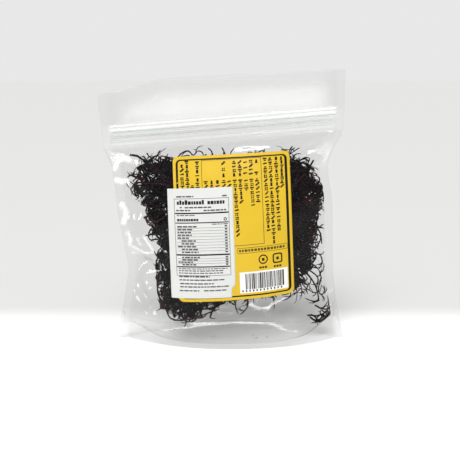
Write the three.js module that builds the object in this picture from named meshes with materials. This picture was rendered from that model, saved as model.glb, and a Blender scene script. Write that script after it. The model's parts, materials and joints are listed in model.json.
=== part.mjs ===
// A clear stand-up pouch of dried seaweed, closed by a press zip, with a paper label and a sticker.
// Millimetres, +Z up. The front faces -Y, and the origin is under the middle of the base.
import * as THREE from "three";

// The pouch's outline and half its depth, level by level, from the base to the top edge.
const levels = [
  { height: 0, left: -82.5, right: 83, depth: 25 },
  { height: 22, left: -81, right: 78, depth: 27.5 },
  { height: 42, left: -77.5, right: 75.2, depth: 27.5 },
  { height: 62, left: -74.8, right: 74.2, depth: 26 },
  { height: 98, left: -80.5, right: 72.6, depth: 20 },
  { height: 121, left: -82.6, right: 69, depth: 13.5 },
  { height: 134, left: -84.2, right: 72.5, depth: 8 },
  { height: 145, left: -88, right: 79, depth: 3.6 },
  { height: 152, left: -90.4, right: 80, depth: 1.4 },
  { height: 192, left: -90.5, right: 79.8, depth: 0.9 },
];
const topHeight = levels[levels.length - 1].height;

const sealWidth = 5; // the flat welded strip down each side
const sealHalf = 0.4; // half the thickness of that strip
const crossPower = 2.3; // how full the section is between the side welds

// How the filled pouch stands: rows run up to the right, and the right side is turned back.
const rowSlope = Math.tan(THREE.MathUtils.degToRad(4.2));
const rowTurn = Math.tan(THREE.MathUtils.degToRad(5));
const settleHeight = 38; // the rows are level at the base and have their full slope from here
const topSlopeLoss = 0.35; // the free top edge runs flatter than the zip

// The top left corner has flopped forward. Its side is a share of the way out to the edge.
const cornerFlop = { height: 162, over: 30, side: 0.45, forward: 12, down: 8 };

// The press zip: two moulded ribs on each film.
const zipRibs = [152.6, 159.4];
const zipRibHalf = 1.7;
const zipRibHeight = 1.1;

// The base: flat in the middle, and hollowed between the welded rims towards both ends.
const baseHollow = { from: 0.6, full: 0.88, rise: 3.4 };
const baseShrink = 0.012; // how far the base's inner rings stop short of its ends

// Folds pressed into the film, each a line from one point to the next, across and up the panel.
const frontFolds = [
  { from: [79, 143], to: [54, 137], deep: 2.4, reach: 7 },
  { from: [79, 143], to: [68, 121], deep: 2.2, reach: 6 },
  { from: [-87, 146], to: [-70, 138], deep: 2.4, reach: 6 },
  { from: [-80, 121], to: [-66, 114], deep: 2.2, reach: 6 },
  { from: [-78, 102], to: [-68, 101], deep: 1.8, reach: 5 },
  { from: [-74, 62], to: [-54, 66], deep: 2.8, reach: 8 },
  { from: [-70, 54], to: [-56, 30], deep: 2.2, reach: 7 },
  { from: [14, 26], to: [40, 30], deep: 1.8, reach: 6 },
  { from: [58, 12], to: [74, 34], deep: 2, reach: 7 },
];
const backFolds = [
  { from: [-84, 142], to: [-50, 131], deep: 2.6, reach: 7 },
  { from: [76, 142], to: [52, 128], deep: 2.4, reach: 7 },
  { from: [-72, 60], to: [-52, 78], deep: 2.4, reach: 8 },
  { from: [70, 50], to: [52, 72], deep: 2.4, reach: 8 },
  { from: [-20, 22], to: [16, 26], deep: 1.8, reach: 6 },
];

// The paper label, and the sticker that covers its left part. The middle is across and up the
// panel, the turn is in degrees to the left, and the gap is from the film.
const label = { middle: [1.8, 87.4], size: [82, 100.5], turn: 2.5, corner: 3, gap: 0.3, thick: 0.45 };
const sticker = { middle: [-20.9, 78.6], size: [45.6, 76.6], turn: 1.9, corner: 0.8, gap: 1.05, thick: 0.4 };
const stickerNick = { deep: 3, high: 9, over: 4 }; // the stepped lower right corner of the sticker

const columns = 35;
const bodyRows = 26;
const zipRowStep = 0.85;
const headerRows = 7;
const baseRings = [0.9, 0.6, 0.3];
const paperColumns = 12;
const paperRows = 15;
const paperCornerRows = 2;

function smooth(value) {
  return THREE.MathUtils.smoothstep(value, 0, 1);
}

// One column of the levels as a smooth curve up the pouch.
function levelValue(name, height) {
  const last = levels.length - 2;
  let index = 0;
  while (index < last && levels[index + 1].height < height) {
    index += 1;
  }
  const slopeAt = (place) => {
    const before = levels[Math.max(place - 1, 0)];
    const after = levels[Math.min(place + 1, levels.length - 1)];
    return (after[name] - before[name]) / (after.height - before.height);
  };
  const low = levels[index];
  const high = levels[index + 1];
  const span = high.height - low.height;
  const along = THREE.MathUtils.clamp((height - low.height) / span, 0, 1);
  const square = along ** 2;
  const cube = along ** 3;
  const ends = low[name] * (2 * cube - 3 * square + 1) + high[name] * (3 * square - 2 * cube);
  const slopes = slopeAt(index) * (cube - 2 * square + along) + slopeAt(index + 1) * (cube - square);
  return ends + slopes * span;
}

// How deep one fold is at a point of the panel.
function foldDepth(fold, across, height) {
  const line = new THREE.Vector2(...fold.to).sub(new THREE.Vector2(...fold.from));
  const away = new THREE.Vector2(across, height).sub(new THREE.Vector2(...fold.from));
  const along = THREE.MathUtils.clamp(away.dot(line) / line.lengthSq(), 0, 1);
  const distance = away.sub(line.multiplyScalar(along)).length();
  return fold.deep * smooth(1 - distance / fold.reach);
}

function zipRib(height) {
  const nearest = Math.min(...zipRibs.map((rib) => Math.abs(height - rib)));
  return zipRibHeight * smooth(1 - nearest / zipRibHalf);
}

// Half the pouch's depth at a point of its front (side -1) or back (side 1), before it leans.
function halfDepth(across, height, side) {
  const left = levelValue("left", height);
  const right = levelValue("right", height);
  const open = (right - left) / 2 - sealWidth;
  const fromWeld = open - Math.abs(across - (left + right) / 2);
  if (fromWeld <= 0) {
    return sealHalf;
  }
  const fullness = 1 - (1 - fromWeld / open) ** crossPower;
  const folds = side < 0 ? frontFolds : backFolds;
  const pressed = folds.reduce((sum, fold) => sum + foldDepth(fold, across, height), 0);
  const film = Math.max(levelValue("depth", height) * fullness - pressed, sealHalf);
  return film + zipRib(height) * smooth(fromWeld / sealWidth);
}

// Moves a point of the upright pouch to where it is in the standing one.
function settle(across, depth, height) {
  const rising = smooth(height / settleHeight);
  const freeEdge = smooth((height - zipRibs[1]) / (topHeight - zipRibs[1]));
  const slope = rowSlope * rising * (1 - topSlopeLoss * freeEdge);
  const side = across / levelValue("left", height);
  const flop = smooth((height - cornerFlop.height) / cornerFlop.over)
    * smooth((side - cornerFlop.side) / (1 - cornerFlop.side));
  return new THREE.Vector3(
    across,
    depth + across * rowTurn * rising - cornerFlop.forward * flop,
    height + across * slope - cornerFlop.down * flop,
  );
}

function panelPoint(across, height, side, lift = 0) {
  return settle(across, side * (halfDepth(across, height, side) + lift), height);
}

// One closed solid through rings of points, which run to the right in front and back to the left
// behind. The first and last rings are shut by a strip from their front to their back.
function solidFromRings(rings) {
  const around = rings[0].length;
  const faces = [];
  const quad = (a, b, c, d) => faces.push(a, b, c, a, c, d);
  for (let ring = 0; ring < rings.length - 1; ring += 1) {
    const low = ring * around;
    const high = low + around;
    for (let step = 0; step < around; step += 1) {
      const next = (step + 1) % around;
      quad(low + step, low + next, high + next, high + step);
    }
  }
  const lastRing = (rings.length - 1) * around;
  for (let step = 0; step < around / 2 - 1; step += 1) {
    const behind = around - 1 - step;
    quad(behind, behind - 1, step + 1, step);
    quad(lastRing + step, lastRing + step + 1, lastRing + behind - 1, lastRing + behind);
  }
  const positions = rings.flat().flatMap((point) => point.toArray());
  const geometry = new THREE.BufferGeometry();
  geometry.setAttribute("position", new THREE.Float32BufferAttribute(positions, 3));
  geometry.setIndex(faces);
  geometry.computeVertexNormals();
  return geometry;
}

function spread(from, to, steps) {
  return Array.from({ length: steps + 1 }, (unused, step) => from + ((to - from) * step) / steps);
}

// One ring round the pouch. Its end columns lie on the edges of the side welds.
function pouchRing(height) {
  const left = levelValue("left", height);
  const right = levelValue("right", height);
  const inside = spread(left + sealWidth, right - sealWidth, columns - 2);
  const across = [left, ...inside, right];
  const front = across.map((x) => panelPoint(x, height, -1));
  const back = across.map((x) => panelPoint(x, height, 1)).reverse();
  return [...front, ...back];
}

// A ring of the base, drawn in from the rim towards the line half way between front and back.
function baseRing(rim, inward) {
  return rim.map((point, step) => {
    const opposite = rim[rim.length - 1 - step];
    const ring = point.clone().lerp(opposite, inward / 2);
    const side = Math.abs(point.x) / rim[rim.length / 2].x;
    const hollow = smooth((side - baseHollow.from) / (baseHollow.full - baseHollow.from));
    const shut = smooth((1 - side) / (1 - baseHollow.full));
    ring.x *= 1 - baseShrink * inward;
    ring.z = baseHollow.rise * hollow * shut * Math.sin((Math.PI / 2) * inward);
    return ring;
  });
}

function pouchGeometry() {
  const zipLow = zipRibs[0] - zipRibHalf;
  const zipHigh = zipRibs[1] + zipRibHalf;
  const zipSteps = Math.round((zipHigh - zipLow) / zipRowStep);
  const heights = [
    ...spread(0, zipLow, bodyRows),
    ...spread(zipLow, zipHigh, zipSteps).slice(1),
    ...spread(zipHigh, topHeight, headerRows).slice(1),
  ];
  const rim = pouchRing(0);
  const base = baseRings.map((inward) => baseRing(rim, inward));
  return solidFromRings([...base, ...heights.map(pouchRing)]);
}

// How far a paper's side is drawn in where its corner is rounded.
function cornerInset(paper, fromEnd) {
  const missing = Math.max(paper.corner - fromEnd, 0);
  return paper.corner - Math.sqrt(paper.corner ** 2 - missing ** 2);
}

// A sheet of paper that lies on the front film. The nick is how far its right side steps in. The
// rows' slope comes off here, because settling adds it.
function paperGeometry(paper, nick = () => 0) {
  const [width, tall] = paper.size;
  const turn = THREE.MathUtils.degToRad(paper.turn);
  const ends = spread(0, paper.corner, paperCornerRows);
  const rows = [
    ...ends,
    ...spread(paper.corner, tall - paper.corner, paperRows).slice(1),
    ...ends.slice(0, -1).reverse().map((end) => tall - end),
  ];
  const rings = rows.map((row) => {
    const inset = cornerInset(paper, Math.min(row, tall - row));
    const sides = spread(inset - width / 2, width / 2 - inset - nick(row), paperColumns);
    const up = row - tall / 2;
    const place = (side, lift) => {
      const across = side * Math.cos(turn) - up * Math.sin(turn);
      const height = side * Math.sin(turn) + up * Math.cos(turn) - side * rowSlope;
      return panelPoint(paper.middle[0] + across, paper.middle[1] + height, -1, lift);
    };
    const outer = sides.map((side) => place(side, paper.gap + paper.thick));
    const inner = sides.map((side) => place(side, paper.gap)).reverse();
    return [...outer, ...inner];
  });
  return solidFromRings(rings);
}

function stickerStep(row) {
  return stickerNick.deep * smooth((stickerNick.high - row) / stickerNick.over);
}

function namedMesh(name, geometry, material) {
  const mesh = new THREE.Mesh(geometry, material);
  mesh.name = name;
  return mesh;
}

const film = new THREE.MeshStandardMaterial({
  color: 0xc9ccc8,
  roughness: 0.12,
  metalness: 0,
  transparent: true,
  opacity: 0.45,
});
const yellowPaper = new THREE.MeshStandardMaterial({ color: 0xf2d250, roughness: 0.6, metalness: 0 });
const whitePaper = new THREE.MeshStandardMaterial({ color: 0xfafaf7, roughness: 0.55, metalness: 0 });

const group = new THREE.Group();
group.add(namedMesh("pouch", pouchGeometry(), film));
group.add(namedMesh("label", paperGeometry(label), yellowPaper));
group.add(namedMesh("sticker", paperGeometry(sticker, stickerStep), whitePaper));

export default group;
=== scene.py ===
import json
import math

import bpy
import numpy as np
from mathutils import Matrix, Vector

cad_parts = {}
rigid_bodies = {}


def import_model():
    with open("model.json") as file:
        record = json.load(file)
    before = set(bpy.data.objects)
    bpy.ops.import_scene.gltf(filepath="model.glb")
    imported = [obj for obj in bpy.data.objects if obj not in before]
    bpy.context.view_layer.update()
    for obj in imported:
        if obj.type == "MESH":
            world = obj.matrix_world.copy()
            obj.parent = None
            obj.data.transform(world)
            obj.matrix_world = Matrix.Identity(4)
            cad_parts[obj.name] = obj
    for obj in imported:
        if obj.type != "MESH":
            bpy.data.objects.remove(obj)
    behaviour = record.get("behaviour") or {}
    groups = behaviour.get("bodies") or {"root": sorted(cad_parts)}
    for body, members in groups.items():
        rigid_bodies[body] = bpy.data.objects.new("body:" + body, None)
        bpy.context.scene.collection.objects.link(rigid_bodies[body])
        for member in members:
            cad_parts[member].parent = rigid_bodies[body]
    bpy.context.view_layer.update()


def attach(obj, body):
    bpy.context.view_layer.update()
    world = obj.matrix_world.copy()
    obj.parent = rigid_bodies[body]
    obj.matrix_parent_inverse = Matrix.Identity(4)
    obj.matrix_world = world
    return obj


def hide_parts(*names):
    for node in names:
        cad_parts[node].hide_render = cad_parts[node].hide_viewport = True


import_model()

# Sizes are in millimetres, as on the pouch laid upright and straight: across, depth, height.
# settle() moves a point from there to where it is in the standing pouch.
mm = 0.001

# ---- small tools: nodes, colours and meshes


def hexColour(text):
    # sRGB hex to the linear colour that the shaders use
    parts = [int(text[i:i + 2], 16) / 255 for i in (1, 3, 5)]
    linear = [p / 12.92 if p <= 0.04045 else ((p + 0.055) / 1.055) ** 2.4 for p in parts]
    return (*linear, 1.0)


def addNode(tree, kind, settings=None, links=None):
    # a setting is an input's value if the node has an input of that name or number
    node = tree.nodes.new(kind)
    for key, value in (settings or {}).items():
        if isinstance(key, str) and key not in node.inputs:
            setattr(node, key, value)
        else:
            node.inputs[key].default_value = value
    for key, source in (links or {}).items():
        tree.links.new(source, node.inputs[key])
    return node


def newMaterial(name):
    material = bpy.data.materials.new(name)
    material.use_nodes = True
    material.node_tree.nodes.clear()
    return material, material.node_tree


def meshObject(name, points, faces, material=None, edges=()):
    mesh = bpy.data.meshes.new(name)
    mesh.from_pydata((np.asarray(points) * mm).tolist(), edges, faces)
    mesh.update()
    piece = bpy.data.objects.new(name, mesh)
    bpy.context.collection.objects.link(piece)
    if material:
        mesh.materials.append(material)
        mesh.polygons.foreach_set("use_smooth", [True] * len(mesh.polygons))
    return piece


def finished(piece):
    # the piece as a plain mesh, with its modifiers applied and gone
    graph = bpy.context.evaluated_depsgraph_get()
    mesh = bpy.data.meshes.new_from_object(piece.evaluated_get(graph))
    mesh.name = piece.name
    piece.modifiers.clear()
    piece.data = mesh
    return piece


def pointValues(piece, name, values):
    attribute = piece.data.attributes.new(name, "FLOAT", "POINT")
    attribute.data.foreach_set("value", values)


def walled(sheet):
    # the wall goes inwards, so the film's outer face stays where the mesh is
    wall = sheet.modifiers.new("wall", "SOLIDIFY")
    wall.thickness = film["thick"] * mm
    wall.offset = -1
    return finished(sheet)


def placed(piece, slot, *replaced):
    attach(piece, "root")
    if replaced:
        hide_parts(*replaced)
    return piece


def gridFaces(rows, columns, flip=False):
    faces = []
    for row in range(rows - 1):
        for column in range(columns - 1):
            low = row * columns + column
            high = low + columns
            quad = (low, low + 1, high + 1, high)
            faces.append(quad[::-1] if flip else quad)
    return faces


def ringFaces(count, around, first=0, loop=False):
    # rings of points, each closed on itself. Unless they loop, the first and last are shut
    faces = []
    for ring in range(count if loop else count - 1):
        low = first + ring * around
        high = first + (ring + 1) % count * around
        for step in range(around):
            after = (step + 1) % around
            faces.append((low + step, low + after, high + after, high + step))
    if not loop:
        last = first + (count - 1) * around
        for step in range(around // 2 - 1):
            behind = around - 1 - step
            faces.append((first + behind, first + behind - 1, first + step + 1, first + step))
            faces.append((last + step, last + step + 1, last + behind - 1, last + behind))
    return faces


def smooth(value):
    value = np.clip(value, 0, 1)
    return value * value * (3 - 2 * value)


def between(low, high, lowSlope, highSlope, along, span):
    # a smooth curve from one value to the next, with the given slopes at both
    square, cube = along ** 2, along ** 3
    ends = low * (2 * cube - 3 * square + 1) + high * (3 * square - 2 * cube)
    return ends + (lowSlope * (cube - 2 * square + along) + highSlope * (cube - square)) * span


def waves(seed, first, second, scale, count=7):
    # a soft uneven field between about -1 and 1, with bumps of about the given size
    random = np.random.default_rng(seed)
    total = 0
    for _ in range(count):
        angle = random.uniform(0, math.tau)
        pace = math.tau / (scale * random.uniform(0.7, 1.6))
        along = first * math.cos(angle) + second * math.sin(angle)
        total = total + np.sin(along * pace + random.uniform(0, math.tau))
    return total / math.sqrt(count * 2)


# ---- the pouch's form, as the frame has it

pouch = {
    "levels": np.array((  # height, left edge, right edge, half the depth
        (0, -82.5, 83, 25),
        (22, -81, 78, 27.5),
        (42, -77.5, 75.2, 27.5),
        (62, -74.8, 74.2, 26),
        (98, -80.5, 72.6, 20),
        (121, -82.6, 69, 13.5),
        (134, -84.2, 72.5, 8),
        (145, -88, 79, 3.6),
        (152, -90.4, 80, 1.4),
        (192, -90.5, 79.8, 0.9),
    ), float),
    "sealWidth": 5,
    "sealHalf": 0.2,
    "crossPower": 2.3,  # how full the section is between the side welds
    "rowSlope": math.tan(math.radians(4.2)),  # rows run up to the right
    "rowTurn": math.tan(math.radians(5)),  # and the right side is turned back
    "settleHeight": 38,
    "topSlopeLoss": 0.35,
    "zipLow": 147.5,
    "zipHigh": 163.3,
    "top": 192,
    "slack": 0.45,  # soft unevenness of the filled film
}
cornerFlop = {"height": 162, "over": 30, "side": 0.45, "forward": 12, "down": 8}
# The air held above the zip.
headerBulge = {"low": 164, "high": 183, "inset": 3, "rise": 6, "edge": 15, "swell": 1.7,
               "uneven": (0.35, 48)}

# Flat ridges moulded along the zip: lower edge, upper edge, how proud they stand and how white. The white
# is the web's own milkiness, with painted reflection that makes the upper ridges whiter.
zipRidges = (
    (146.4, 148.0, 0.45, 0.02),
    (149.4, 151.2, 0.50, 0.07),
    (152.4, 154.6, 0.55, 0.03),
    (155.8, 158.0, 0.50, 0.14),
    (159.2, 161.4, 0.40, 0.30),
    (162.2, 163.8, 0.30, 0.30),
)
zipBase = 0.55  # how far the zip's web holds each film from the middle

# Folds pressed into the film: across and height of both ends, depth, and reach to each side.
pressedFolds = {
    -1: (
        (79, 143, 54, 137, 2.4, 7),
        (79, 143, 68, 121, 2.2, 6),
        (-87, 146, -70, 138, 2.4, 6),
        (-80, 121, -66, 114, 2.2, 6),
        (-78, 102, -68, 101, 1.8, 5),
        (-74, 62, -54, 66, 2.8, 8),
        (-70, 54, -56, 30, 2.2, 7),
        (14, 26, 40, 30, 1.8, 6),
        (58, 12, 74, 34, 2.0, 7),
    ),
    1: (
        (-84, 142, -50, 131, 2.6, 7),
        (76, 142, 52, 128, 2.4, 7),
        (-72, 60, -52, 78, 2.4, 8),
        (70, 50, 52, 72, 2.4, 8),
        (-20, 22, 16, 26, 1.8, 6),
    ),
}


def levelValue(column, height):
    at = pouch["levels"][:, 0]
    value = pouch["levels"][:, column]
    slope = np.empty_like(value)
    slope[1:-1] = (value[2:] - value[:-2]) / (at[2:] - at[:-2])
    slope[0] = (value[1] - value[0]) / (at[1] - at[0])
    slope[-1] = (value[-1] - value[-2]) / (at[-1] - at[-2])
    index = np.clip(np.searchsorted(at, height) - 1, 0, len(at) - 2)
    span = at[index + 1] - at[index]
    along = np.clip((height - at[index]) / span, 0, 1)
    return between(value[index], value[index + 1], slope[index], slope[index + 1], along, span)


def fromWeld(across, height):
    # how far inside the nearer side weld a point is, and half the width between the welds
    left, right = levelValue(1, height), levelValue(2, height)
    opened = (right - left) / 2 - pouch["sealWidth"]
    return opened - np.abs(across - (left + right) / 2), opened


def lineShare(across, height, x0, z0, x1, z1):
    # distance from a line, with its sign, and how far along the line, from 0 to 1
    run = np.array((x1 - x0, z1 - z0), float)
    length = math.hypot(*run)
    away = np.stack((across - x0, height - z0), -1)
    along = away @ run / length ** 2
    near = np.clip(along, 0, 1)
    off = away - near[..., None] * run
    side = np.sign(away[..., 0] * run[1] - away[..., 1] * run[0])
    return np.hypot(off[..., 0], off[..., 1]) * side, along


def halfDepth(across, height, side):
    across, height = np.broadcast_arrays(np.asarray(across, float), np.asarray(height, float))
    inside, opened = fromWeld(across, height)
    share = np.clip(1 - inside / opened, 0, 1)
    film = levelValue(3, height) * (1 - share ** pouch["crossPower"])
    for x0, z0, x1, z1, deep, reach in pressedFolds[side]:
        away, _ = lineShare(across, height, x0, z0, x1, z1)
        film = film - deep * smooth(1 - np.abs(away) / reach)
    slack = smooth(inside / 14) * smooth((pouch["zipLow"] - 6 - height) / 20) * smooth(height / 12)
    film = film - pouch["slack"] * slack * waves(50 + side, across, height, 34)
    return np.where(inside > 0, np.maximum(film, pouch["sealHalf"]), pouch["sealHalf"])


def settle(across, depth, height):
    across, depth, height = np.broadcast_arrays(across, depth, height)
    rising = smooth(height / pouch["settleHeight"])
    freeEdge = smooth((height - pouch["zipHigh"]) / (pouch["top"] - pouch["zipHigh"]))
    slope = pouch["rowSlope"] * rising * (1 - pouch["topSlopeLoss"] * freeEdge)
    side = across / levelValue(1, height)
    flop = smooth((height - cornerFlop["height"]) / cornerFlop["over"])
    flop = flop * smooth((side - cornerFlop["side"]) / (1 - cornerFlop["side"]))
    return np.stack((
        across,
        depth + across * pouch["rowTurn"] * rising - cornerFlop["forward"] * flop,
        height + across * slope - cornerFlop["down"] * flop,
    ), -1)


# ---- places read off the photograph

# The photograph's view: from in front, a little above.
view = {
    "target": (-1.2, 6.7, 80),
    "distance": 600,
    "pitch": 13,
    "fieldOfView": 31.3,
    "sensor": 36,
    "pixels": 460,
}


def readOff(pixels, depth):
    # across and height on the upright pouch, from places read off the photograph in its
    # pixels. The depth is the one that they have in the standing pouch
    pitch = math.radians(view["pitch"])
    half = view["pixels"] / 2
    reach = half / math.tan(math.radians(view["fieldOfView"] / 2))
    right, down = (np.array(pixels, float).T - half) / reach
    forward = math.cos(pitch) - down * math.sin(pitch)
    rise = -math.sin(pitch) - down * math.cos(pitch)
    targetAcross, targetDepth, targetHeight = view["target"]
    along = (depth - targetDepth + view["distance"] * math.cos(pitch)) / forward
    across = targetAcross + right * along
    standing = targetHeight + view["distance"] * math.sin(pitch) + rise * along
    height = standing
    for _ in range(20):  # takes away the slope that settle() gives
        height = standing - across * pouch["rowSlope"] * smooth(height / pouch["settleHeight"])
    return np.stack((across, height), 1)


# ---- papers: where they lie on the front film

label = {"middle": (1.8, 87.4), "size": (82, 100.5), "turn": 2.5, "corner": 3.2, "thick": 0.14}
sticker = {"middle": (-20.9, 78.6), "size": (45.6, 76.6), "turn": 1.9, "corner": 0.5, "thick": 0.12}
stickerNick = {"deep": 2.8, "high": 9.5, "over": 3.5}
paperGap = 0.05  # between the film's outer face and the back of the paper
paperStep = 1.1  # mm between the points of a paper's mesh
stepOver = 4.0  # mm that the sticker takes to climb over the label's edge


def onPaper(paper, side, up):
    # a place on the paper, from its middle, as across and height on the pouch
    turn = math.radians(paper["turn"])
    across = side * math.cos(turn) - up * math.sin(turn)
    height = side * math.sin(turn) + up * math.cos(turn) - side * pouch["rowSlope"]
    return paper["middle"][0] + across, paper["middle"][1] + height


def fromPaper(paper, across, height):
    # how far outside a paper's edge a place is; negative inside
    turn = math.radians(paper["turn"])
    dx = across - paper["middle"][0]
    dz = height - paper["middle"][1] + dx * pouch["rowSlope"]
    side = np.abs(dx * math.cos(turn) + dz * math.sin(turn)) - paper["size"][0] / 2
    up = np.abs(dz * math.cos(turn) - dx * math.sin(turn)) - paper["size"][1] / 2
    outside = np.hypot(np.maximum(side, 0), np.maximum(up, 0))
    return outside + np.minimum(np.maximum(side, up), 0)


def paperPoint(paper, side, up, lift):
    across, height = onPaper(paper, side, up)
    if paper is sticker:  # it climbs over the edge of the label
        over = smooth(0.5 - fromPaper(label, across, height) / stepOver)
        lift = lift + (label["thick"] + paperGap / 2) * over
    depth = halfDepth(across, height, -1) + paperGap + lift
    return settle(across, -depth, height)


# ---- film: creases, panels and base

film = {
    "thick": 0.12,
    "columns": 158,
    "rows": ((0, 147, 130), (147, 164, 64), (164, 192, 24)),  # from, to and steps
    # share of the light that each part of the film scatters
    "haze": 0.0015,
    "headerPaintedReflection": 0.165,  # above the zip: painted reflection, a milky veil fading towards the top
    "basePaintedReflection": 0.10,  # painted reflection: a pale veil low on the front film, not at the right
    "zipHaze": 0.02,
    # a place, and the mm over which a change has its full effect from there
    "headerThins": (186, 14),
    "headerStarts": (2, 16),  # from the weld
    "paintedReflectionBelow": (25, 12),
    "paintedReflectionLeftOf": (54, 14),
    "headerAtTop": 0.15,  # share of the header's haze that is left at the top edge
    "headerUneven": (0.12, 40),  # share and size of its cloudiness
    # creases die out towards the welds, papers, zip and base
    "creaseFromWeld": 7,
    "creaseFromPaper": (1, 5),
    "creaseFromZip": (2, 4),
    "creaseFromBase": 6,
    "wobble": (0.16, 13),  # depth and size of the film's fine unevenness
    "weldGloss": 0.5,
    "zipGloss": 0.45,
}

# Fields of small sharp creases: where they lie, how many, their direction in degrees from
# level, and their length, depth and width.
creaseFields = (
    {"side": -1, "across": (-78, -60), "height": (14, 126), "count": 26, "angle": (-35, 35),
     "length": (10, 26), "deep": (0.14, 0.5), "wide": (3, 8)},
    {"side": -1, "across": (-74, -60), "height": (62, 84), "count": 20, "angle": (-60, 30),
     "length": (5, 13), "deep": (0.4, 1.2), "wide": (1.6, 4.0)},
    {"side": -1, "across": (60, 74), "height": (10, 126), "count": 16, "angle": (70, 110),
     "length": (14, 36), "deep": (0.15, 0.45), "wide": (3, 7)},
    {"side": -1, "across": (-66, 68), "height": (7, 30), "count": 34, "angle": (-24, 30),
     "length": (9, 30), "deep": (0.2, 0.6), "wide": (2.4, 7)},
    {"side": -1, "across": (-20, 14), "height": (22, 31), "count": 22, "angle": (-50, 50),
     "length": (3, 8), "deep": (0.4, 1.0), "wide": (1.4, 2.6)},
    {"side": -1, "across": (-80, 70), "height": (137, 146), "count": 12, "angle": (-10, 10),
     "length": (18, 44), "deep": (0.12, 0.35), "wide": (2, 4)},
    {"side": 1, "across": (-80, -44), "height": (12, 130), "count": 70, "angle": (-45, 45),
     "length": (10, 30), "deep": (0.3, 1.0), "wide": (2.2, 6.5)},
    {"side": 1, "across": (40, 74), "height": (12, 130), "count": 70, "angle": (-45, 45),
     "length": (10, 30), "deep": (0.3, 1.0), "wide": (2.2, 6.5)},
    {"side": 1, "across": (-48, 48), "height": (8, 140), "count": 80, "angle": (-90, 90),
     "length": (10, 34), "deep": (0.15, 0.6), "wide": (2.5, 6)},
)

# The creases that show most: both ends, depth (negative stands out) and width.
boldCreases = {
    -1: (
        (80, 145, 62, 139.5, 1.9, 2.4),
        (62, 139.5, 42, 136.5, 1.3, 2.2),
        (80, 145, 71, 131, 2.0, 2.2),
        (71, 131, 66, 118, 1.3, 2.4),
        (-89, 147, -74, 141.5, 1.8, 2.2),
        (-74, 141.5, -46, 143.5, 1.0, 1.8),
        (-60, 138.5, -41, 139.5, 0.7, 2.2),
        (-68, 137, -75, 134.5, -1.6, 3.2),
        (-75, 134.5, -79, 130, -1.8, 3.0),
        (-79, 130, -75, 125.5, -1.6, 2.6),
        (-79, 120.5, -69, 120.5, -2.0, 3.4),
        (-77, 105, -73.5, 100, -2.0, 3.2),
        (-73.5, 100, -74.5, 93, -1.8, 2.8),
        (-69, 104, -67, 82, 0.7, 2.0),
        (-70, 75, -52, 66, -1.8, 2.6),
        (-70, 66, -50, 63, 1.6, 2.2),
        (-64, 80, -54, 70, 1.5, 2.0),
        (-50, 68, -46, 60, 2.0, 2.4),
        (-64, 52, -58, 40, -1.1, 2.6),
        (-70, 44, -58, 40, 1.0, 2.6),
        (-58, 40, -62, 26, 0.6, 3),
        (-56, 26, -44, 16, 0.7, 2.6),
        (10, 30.5, 22, 26, -2.0, 1.7),
        (22, 26, 40, 31, -2.0, 1.7),
        (-38, 5, -27, 16, 0.7, 2.4),
        (38, 9, 54, 6, -0.6, 2.2),
        (-30, 22, 2, 20, 0.7, 2.6),
    ),
    1: (
        (-86, 144, -58, 134, 1.2, 3.4),
        (77, 144, 52, 134, 1.2, 3.4),
        (-70, 78, -48, 66, 1.0, 3),
        (68, 74, 46, 62, 1.0, 3),
        (-30, 128, 12, 122, 0.7, 4),
        (-24, 30, 22, 24, 0.8, 3),
    ),
}


# Painted highlights: white streaks put into the front film's haze along its kinks: width, share
# of white, depth in the standing pouch, and places along each in the photograph's pixels.
paintedKinkHighlights = (
    (2.0, 0.9, -16, ((113, 171), (114.5, 165), (119, 161), (125, 160), (128, 162))),
    (2.6, 0.95, -16, ((115, 182), (120, 183.5), (126, 182))),
    (2.8, 0.95, -20, ((119.5, 208), (123, 213), (124, 218), (121.5, 226))),
    (1.9, 0.7, -23, ((125, 238), (128, 245), (127, 250))),
    (1.3, 0.6, -23, ((127, 251), (134, 254), (141, 256))),
    (1.5, 0.7, -23, ((135, 244), (138, 249))),
    (1.7, 0.75, -22, ((143, 240), (147, 246), (152, 253))),
    (1.1, 0.5, -24.5, ((129, 259), (140, 258), (152, 256))),
    (1.2, 0.7, -23, ((250, 303), (259, 308), (268, 309), (272, 305), (285, 301))),
)


def paintedKinkHighlight(across, height):
    # how white the painted highlights along the kinks are, breaking up along their length
    total = np.zeros_like(across)
    for wide, share, depth, pixels in paintedKinkHighlights:
        places = readOff(pixels, depth)
        for (x0, z0), (x1, z1) in zip(places, places[1:]):
            away, _ = lineShare(across, height, x0, z0, x1, z1)
            total = np.maximum(total, share * smooth(1 - np.abs(away) / wide))
    return total * np.clip(0.85 + 0.35 * waves(62, across, height, 5), 0, 1)


def creaseList(side):
    random = np.random.default_rng(40 + side)
    found = []
    for field in creaseFields:
        if field["side"] != side:
            continue
        for _ in range(field["count"]):
            x, z = random.uniform(*field["across"]), random.uniform(*field["height"])
            angle = math.radians(random.uniform(*field["angle"]))
            half = random.uniform(*field["length"]) / 2
            dx, dz = half * math.cos(angle), half * math.sin(angle)
            deep = random.uniform(*field["deep"]) * random.choice((1, 1, -1))
            found.append((x - dx, z - dz, x + dx, z + dz, deep, random.uniform(*field["wide"])))
    return found + list(boldCreases[side])


def creased(across, height, side):
    # how far the small creases press the film in. Each has one steep and one gentle flank
    random = np.random.default_rng(90 + side)
    total = np.zeros_like(across)
    for x0, z0, x1, z1, deep, wide in creaseList(side):
        away, along = lineShare(across, height, x0, z0, x1, z1)
        gentle = wide * random.uniform(1, 2)
        flank = np.where(away > 0, 1 - away / gentle, 1 + away / wide)
        ends = smooth(1 - np.maximum(np.abs(2 * along - 1) - 0.4, 0) / 0.6)
        total += deep * np.clip(flank, 0, 1) * ends
    return total


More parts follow.
